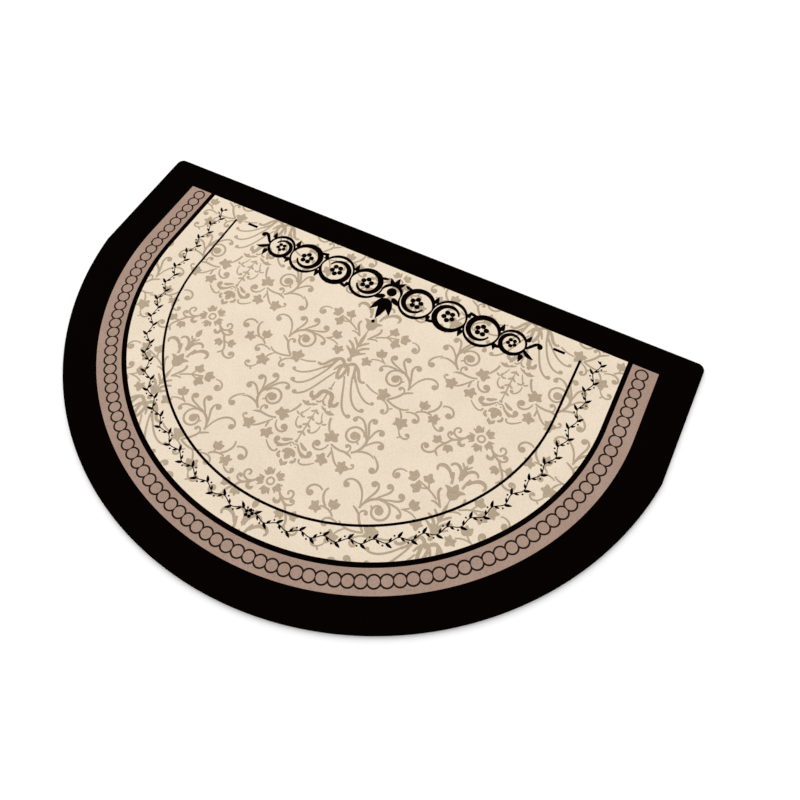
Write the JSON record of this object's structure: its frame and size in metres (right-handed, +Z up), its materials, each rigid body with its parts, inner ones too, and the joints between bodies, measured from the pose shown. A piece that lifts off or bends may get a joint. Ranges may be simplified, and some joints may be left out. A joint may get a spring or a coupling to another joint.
{
  "type": "half-round doormat",
  "caption": "Half-round doormat of printed textile on a thin rubber back, lying flat: dark border, ringed band, ornamented pale field.",
  "frame": {"origin": "on the floor, under the middle of the mat's bounding box", "axes": "+X along the flat edge, +Y towards the flat edge with the curve bulging to -Y, +Z up through the printed face"},
  "size_m": [0.7, 0.45, 0.005],
  "materials": {
    "printed_textile": "matt fine-woven polyester printed in near-black, taupe, cream and tan, on a black rubber back"
  },
  "bodies": {
    "root": {"mat": "printed_textile"}
  },
  "joints": []
}
